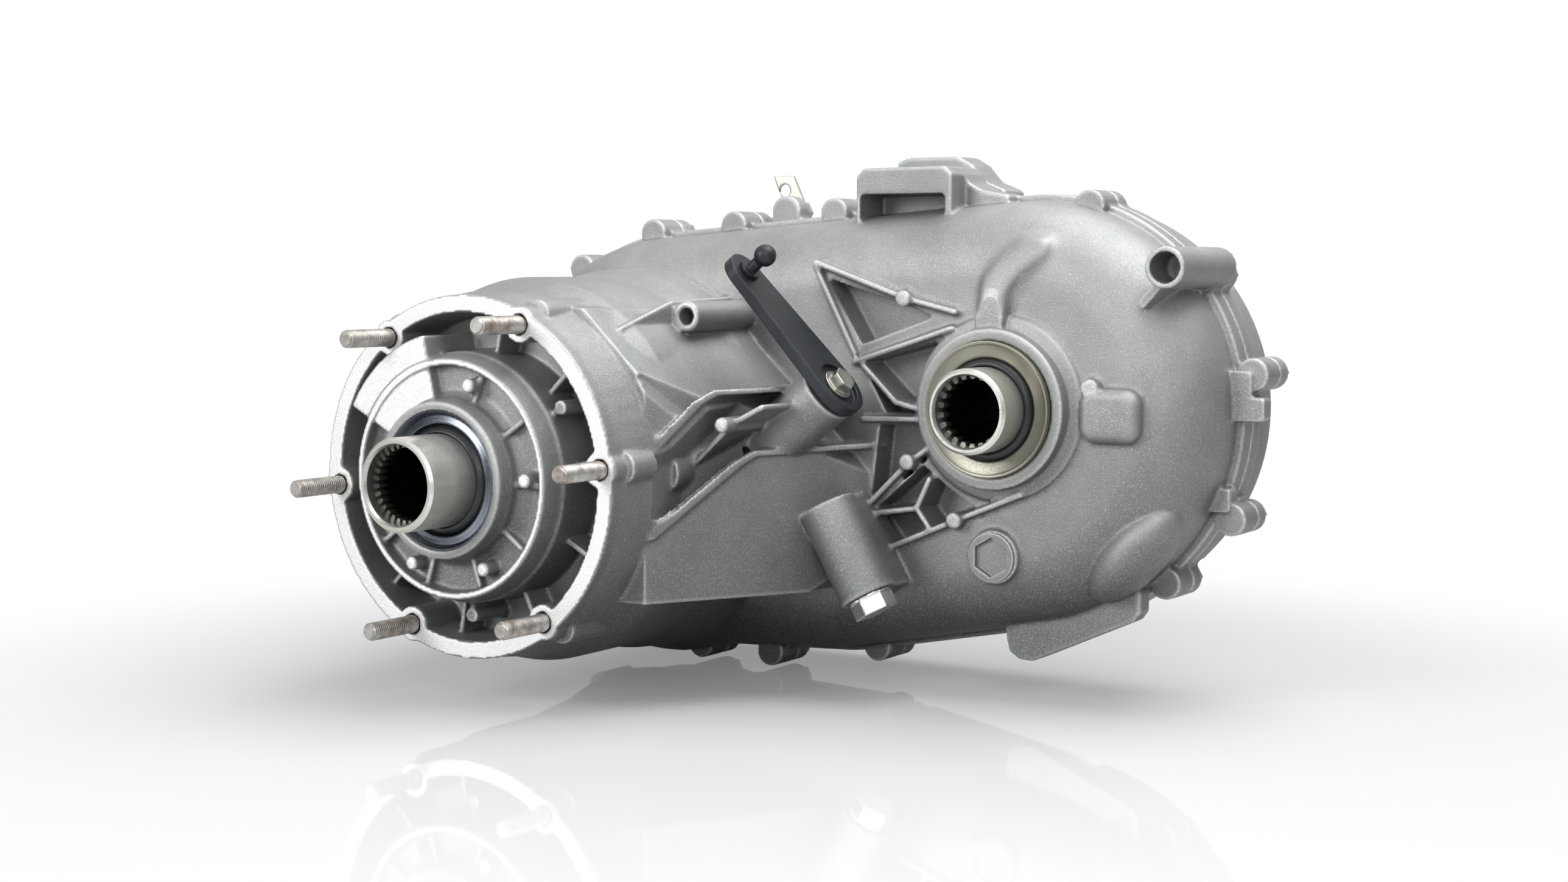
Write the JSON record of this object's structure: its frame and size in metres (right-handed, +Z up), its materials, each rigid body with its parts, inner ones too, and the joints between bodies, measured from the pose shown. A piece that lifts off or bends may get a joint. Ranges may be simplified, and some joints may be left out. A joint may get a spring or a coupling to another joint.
{
  "type": "transfer case",
  "caption": "Part-time four-wheel-drive transfer case: planetary low range, chain drive to an offset front output, shift lever, in a split cast-aluminium housing.",
  "frame": {"origin": "centre of the stud circle, in the front face of the input flange", "axes": "+X across the case towards the front output, +Y backwards along the input axis, away from the gearbox, +Z up"},
  "size_m": [0.519, 0.4276, 0.3065],
  "materials": {
    "cast_aluminium": "as-cast, fine grain, machined on the joint faces",
    "machined_steel": "turned",
    "gear_steel": "ground and hardened",
    "zinc_steel": "zinc plated",
    "stud_steel": "plated, a little rust on the threads",
    "bright_steel": "bright plated",
    "black_lever": "dark phosphate",
    "seal_rubber": "matt",
    "bearing_bronze": "plain bush",
    "chain_steel": "oiled",
    "black_plastic": "moulded",
    "magnet": "ferrite"
  },
  "bodies": {
    "case": {"front_case": "cast_aluminium", "rear_case": "cast_aluminium", "rear_extension": "cast_aluminium", "case_bolts": "zinc_steel", "extension_bolts": "zinc_steel", "flange_studs": "stud_steel", "drain_plug": "bright_steel", "fill_plug": "cast_aluminium", "input_seal": "seal_rubber", "front_output_seal": "seal_rubber", "rear_output_seal": "seal_rubber", "input_bearing_outer": "machined_steel", "input_bearing_balls": "bright_steel", "input_snap_ring": "gear_steel", "annulus_gear": "gear_steel", "shift_rail": "machined_steel", "shift_shaft_seal": "seal_rubber", "output_bearing_outer": "machined_steel", "output_tail_bearing": "bearing_bronze", "rear_bearing_outer": "machined_steel", "rear_bush": "bearing_bronze", "oil_pump": "cast_aluminium", "speed_sensor": "black_plastic", "pickup_tube": "machined_steel", "pickup_screen": "black_plastic", "chip_magnet": "magnet", "harness_bracket": "zinc_steel", "bracket_bolt": "zinc_steel", "drive_chain": "chain_steel"},
    "mainshaft": {"mainshaft": "machined_steel", "mode_hub": "gear_steel", "rear_bearing_inner": "machined_steel", "pump_rotor": "gear_steel", "tone_wheel": "gear_steel"},
    "input": {"input_gear": "machined_steel", "input_bearing_inner": "machined_steel", "hub_snap_ring": "gear_steel", "pilot_bearing": "bearing_bronze"},
    "carrier": {"planet_carrier": "gear_steel", "planet_pins": "machined_steel"},
    "planet_1": {"planet_gear_1": "gear_steel"},
    "planet_2": {"planet_gear_2": "gear_steel"},
    "planet_3": {"planet_gear_3": "gear_steel"},
    "planet_4": {"planet_gear_4": "gear_steel"},
    "range_hub": {"range_hub": "gear_steel"},
    "range_fork": {"range_fork": "cast_aluminium"},
    "mode_sleeve": {"mode_sleeve": "gear_steel"},
    "mode_fork": {"mode_fork": "cast_aluminium"},
    "drive_sprocket": {"drive_sprocket": "gear_steel"},
    "front_output": {"front_output_shaft": "machined_steel", "driven_sprocket": "gear_steel", "output_bearing_inner": "machined_steel"},
    "shift_lever": {"shift_sector": "zinc_steel", "shift_shaft": "machined_steel", "shift_lever": "black_lever", "lever_bolt": "zinc_steel", "ball_stud": "machined_steel"}
  },
  "joints": [
    {"name": "mainshaft_spin", "type": "hinge", "parent": "case", "child": "mainshaft", "pos_m": [0, 0, 0], "axis": [0, 1, 0], "continuous": true},
    {"name": "input_spin", "type": "hinge", "parent": "case", "child": "input", "pos_m": [0, 0, 0], "axis": [0, 1, 0], "continuous": true},
    {"name": "carrier_spin", "type": "hinge", "parent": "case", "child": "carrier", "pos_m": [0, 0, 0], "axis": [0, 1, 0], "continuous": true},
    {"name": "planet_1_spin", "type": "hinge", "parent": "carrier", "child": "planet_1", "pos_m": [0.0675, 0.062, 0], "axis": [0, 1, 0], "continuous": true},
    {"name": "planet_2_spin", "type": "hinge", "parent": "carrier", "child": "planet_2", "pos_m": [0, 0.062, 0.0675], "axis": [0, 1, 0], "continuous": true},
    {"name": "planet_3_spin", "type": "hinge", "parent": "carrier", "child": "planet_3", "pos_m": [-0.0675, 0.062, 0], "axis": [0, 1, 0], "continuous": true},
    {"name": "planet_4_spin", "type": "hinge", "parent": "carrier", "child": "planet_4", "pos_m": [0, 0.062, -0.0675], "axis": [0, 1, 0], "continuous": true},
    {"name": "drive_sprocket_spin", "type": "hinge", "parent": "case", "child": "drive_sprocket", "pos_m": [0, 0, 0], "axis": [0, 1, 0], "continuous": true},
    {"name": "front_output_spin", "type": "hinge", "parent": "case", "child": "front_output", "pos_m": [0.24699, 0, 0.03868], "axis": [0, 1, 0], "continuous": true},
    {"name": "shift_lever_swing", "type": "hinge", "parent": "case", "child": "shift_lever", "pos_m": [0.16487, 0.118, 0.04886], "axis": [-0.788, 0, -0.6157], "range_deg": [0, 32]},
    {"name": "range_fork_slide", "type": "slide", "parent": "case", "child": "range_fork", "axis": [0, 1, 0], "range_m": [0, 0.0281]},
    {"name": "range_hub_slide", "type": "slide", "parent": "mainshaft", "child": "range_hub", "axis": [0, 1, 0], "range_m": [0, 0.0281]},
    {"name": "mode_sleeve_slide", "type": "slide", "parent": "mainshaft", "child": "mode_sleeve", "axis": [0, -1, 0], "range_m": [0, 0.011]},
    {"name": "mode_fork_slide", "type": "slide", "parent": "case", "child": "mode_fork", "axis": [0, -1, 0], "range_m": [0, 0.011]}
  ],
  "couplings": [
    {"joint": "input_spin", "follows": "mainshaft_spin", "ratio": 1},
    {"joint": "drive_sprocket_spin", "follows": "mainshaft_spin", "ratio": 1},
    {"joint": "front_output_spin", "follows": "mainshaft_spin", "ratio": 1},
    {"joint": "carrier_spin", "follows": "mainshaft_spin", "ratio": 0.37037},
    {"joint": "planet_1_spin", "follows": "mainshaft_spin", "ratio": -1.7989},
    {"joint": "planet_2_spin", "follows": "mainshaft_spin", "ratio": -1.7989},
    {"joint": "planet_3_spin", "follows": "mainshaft_spin", "ratio": -1.7989},
    {"joint": "planet_4_spin", "follows": "mainshaft_spin", "ratio": -1.7989},
    {"joint": "range_fork_slide", "follows": "shift_lever_swing", "m_per_rad": 0.050134},
    {"joint": "range_hub_slide", "follows": "shift_lever_swing", "m_per_rad": 0.050134},
    {"joint": "mode_fork_slide", "follows": "mode_sleeve_slide", "ratio": 1}
  ]
}
